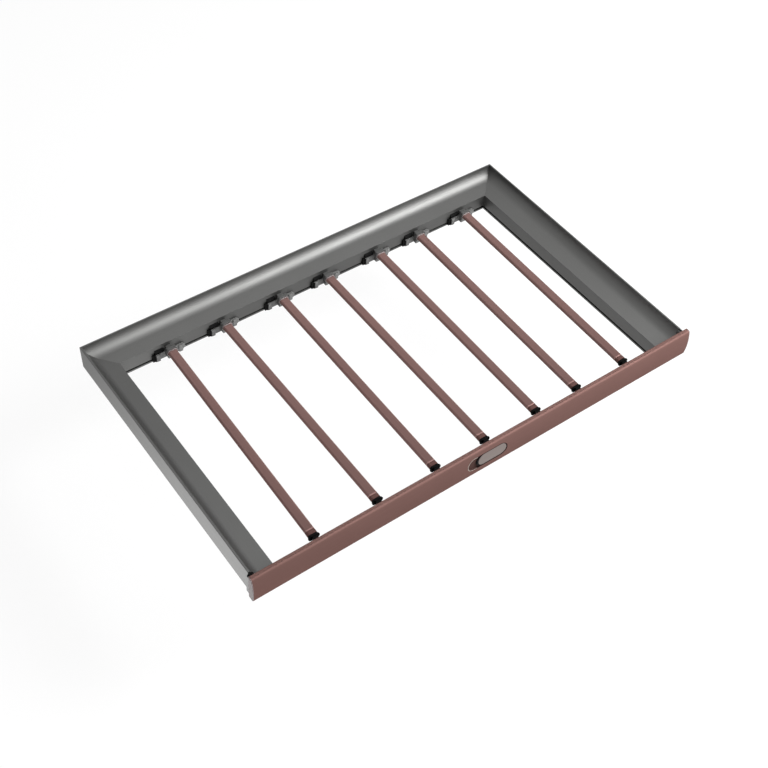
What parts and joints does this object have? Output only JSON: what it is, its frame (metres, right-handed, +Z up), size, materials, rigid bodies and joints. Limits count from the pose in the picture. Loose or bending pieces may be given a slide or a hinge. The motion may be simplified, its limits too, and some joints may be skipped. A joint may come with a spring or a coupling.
{
  "type": "pull out trouser rack",
  "caption": "Pull-out wardrobe trouser rack: coved aluminium frame with a bulged front panel and hanging bars that slide along tracks, on concealed full-extension runners.",
  "frame": {"origin": "centre of the bounding box at its bottom, which is the underside of the runners, with the rack pushed in", "axes": "+X to the right along the front panel, the front panel faces -Y, +Z up"},
  "size_m": [0.86, 0.5282, 0.062],
  "materials": {
    "frame_grey": "satin anodised iron grey",
    "mill_aluminium": "mill finish",
    "flange_black": "moulded, matt",
    "panel_brown": "satin anodised rose brown",
    "cap_grey_pink": "moulded, satin",
    "track_grey": "satin anodised dark grey",
    "tray_brown": "satin, bright edge",
    "thumb_silver": "brushed, anodised silver grey",
    "nylon_black": "moulded, matt",
    "screw_zinc": "zinc plated",
    "runner_zinc": "zinc plated, rolled",
    "cage_nylon": "moulded nylon",
    "roller_steel": "ground",
    "buffer_rubber": "matt",
    "bar_brown": "satin anodised rose brown",
    "collar_brown": "satin",
    "cup_black": "matt",
    "carrier_grey": "moulded, satin"
  },
  "bodies": {
    "cabinet_rails": {"cabinet_rail_left": "runner_zinc", "cabinet_rail_right": "runner_zinc", "closing_buffers": "buffer_rubber"},
    "lower_cages": {"lower_roller_cages": "cage_nylon", "lower_rollers": "roller_steel"},
    "middle_rails": {"middle_rail_left": "runner_zinc", "middle_rail_right": "runner_zinc"},
    "upper_cages": {"upper_roller_cages": "cage_nylon", "upper_rollers": "roller_steel"},
    "rack": {"side_profile_left": "frame_grey", "side_profile_right": "frame_grey", "rear_profile": "frame_grey", "corner_key_left": "mill_aluminium", "corner_key_right": "mill_aluminium", "end_block_left": "frame_grey", "end_block_right": "frame_grey", "joint_flange_left": "flange_black", "joint_flange_right": "flange_black", "front_panel": "panel_brown", "panel_cap_left": "cap_grey_pink", "panel_cap_right": "cap_grey_pink", "front_track": "track_grey", "slider_tray": "tray_brown", "drawer_rail_left": "runner_zinc", "drawer_rail_right": "runner_zinc"},
    "thumb": {"thumb_slider": "thumb_silver", "slider_shoe": "nylon_black"},
    "bar_1": {"bar_tube_1": "bar_brown", "bar_collar_1": "collar_brown", "front_cup_1": "cup_black", "rear_carrier_1": "carrier_grey"},
    "bar_2": {"bar_tube_2": "bar_brown", "bar_collar_2": "collar_brown", "front_cup_2": "cup_black", "rear_carrier_2": "carrier_grey"},
    "bar_3": {"bar_tube_3": "bar_brown", "bar_collar_3": "collar_brown", "front_cup_3": "cup_black", "rear_carrier_3": "carrier_grey"},
    "bar_4": {"bar_tube_4": "bar_brown", "bar_collar_4": "collar_brown", "front_cup_4": "cup_black", "rear_carrier_4": "carrier_grey"},
    "bar_5": {"bar_tube_5": "bar_brown", "bar_collar_5": "collar_brown", "front_cup_5": "cup_black", "rear_carrier_5": "carrier_grey"},
    "bar_6": {"bar_tube_6": "bar_brown", "bar_collar_6": "collar_brown", "front_cup_6": "cup_black", "rear_carrier_6": "carrier_grey"},
    "bar_7": {"bar_tube_7": "bar_brown", "bar_collar_7": "collar_brown", "front_cup_7": "cup_black", "rear_carrier_7": "carrier_grey"}
  },
  "joints": [
    {"name": "pull_out", "type": "slide", "parent": "cabinet_rails", "child": "rack", "axis": [0, -1, 0], "range_m": [0, 0.43]},
    {"name": "middle_rails_slide", "type": "slide", "parent": "cabinet_rails", "child": "middle_rails", "axis": [0, -1, 0], "range_m": [0, 0.215]},
    {"name": "lower_cages_slide", "type": "slide", "parent": "cabinet_rails", "child": "lower_cages", "axis": [0, -1, 0], "range_m": [0, 0.1075]},
    {"name": "upper_cages_slide", "type": "slide", "parent": "cabinet_rails", "child": "upper_cages", "axis": [0, -1, 0], "range_m": [0, 0.3225]},
    {"name": "bar_1_shift", "type": "slide", "parent": "rack", "child": "bar_1", "axis": [1, 0, 0], "range_m": [-0.04, 0.021]},
    {"name": "bar_2_shift", "type": "slide", "parent": "rack", "child": "bar_2", "axis": [1, 0, 0], "range_m": [-0.021, 0.025]},
    {"name": "bar_3_shift", "type": "slide", "parent": "rack", "child": "bar_3", "axis": [1, 0, 0], "range_m": [-0.025, 0.016]},
    {"name": "bar_4_shift", "type": "slide", "parent": "rack", "child": "bar_4", "axis": [1, 0, 0], "range_m": [-0.016, 0.023]},
    {"name": "bar_5_shift", "type": "slide", "parent": "rack", "child": "bar_5", "axis": [1, 0, 0], "range_m": [-0.023, 0.013]},
    {"name": "bar_6_shift", "type": "slide", "parent": "rack", "child": "bar_6", "axis": [1, 0, 0], "range_m": [-0.013, 0.021]},
    {"name": "bar_7_shift", "type": "slide", "parent": "rack", "child": "bar_7", "axis": [1, 0, 0], "range_m": [-0.021, 0.022]},
    {"name": "thumb_slide", "type": "slide", "parent": "rack", "child": "thumb", "axis": [-1, 0, 0], "range_m": [0, 0.013]}
  ],
  "couplings": [
    {"joint": "middle_rails_slide", "follows": "pull_out", "ratio": 0.5},
    {"joint": "lower_cages_slide", "follows": "pull_out", "ratio": 0.25},
    {"joint": "upper_cages_slide", "follows": "pull_out", "ratio": 0.75}
  ]
}
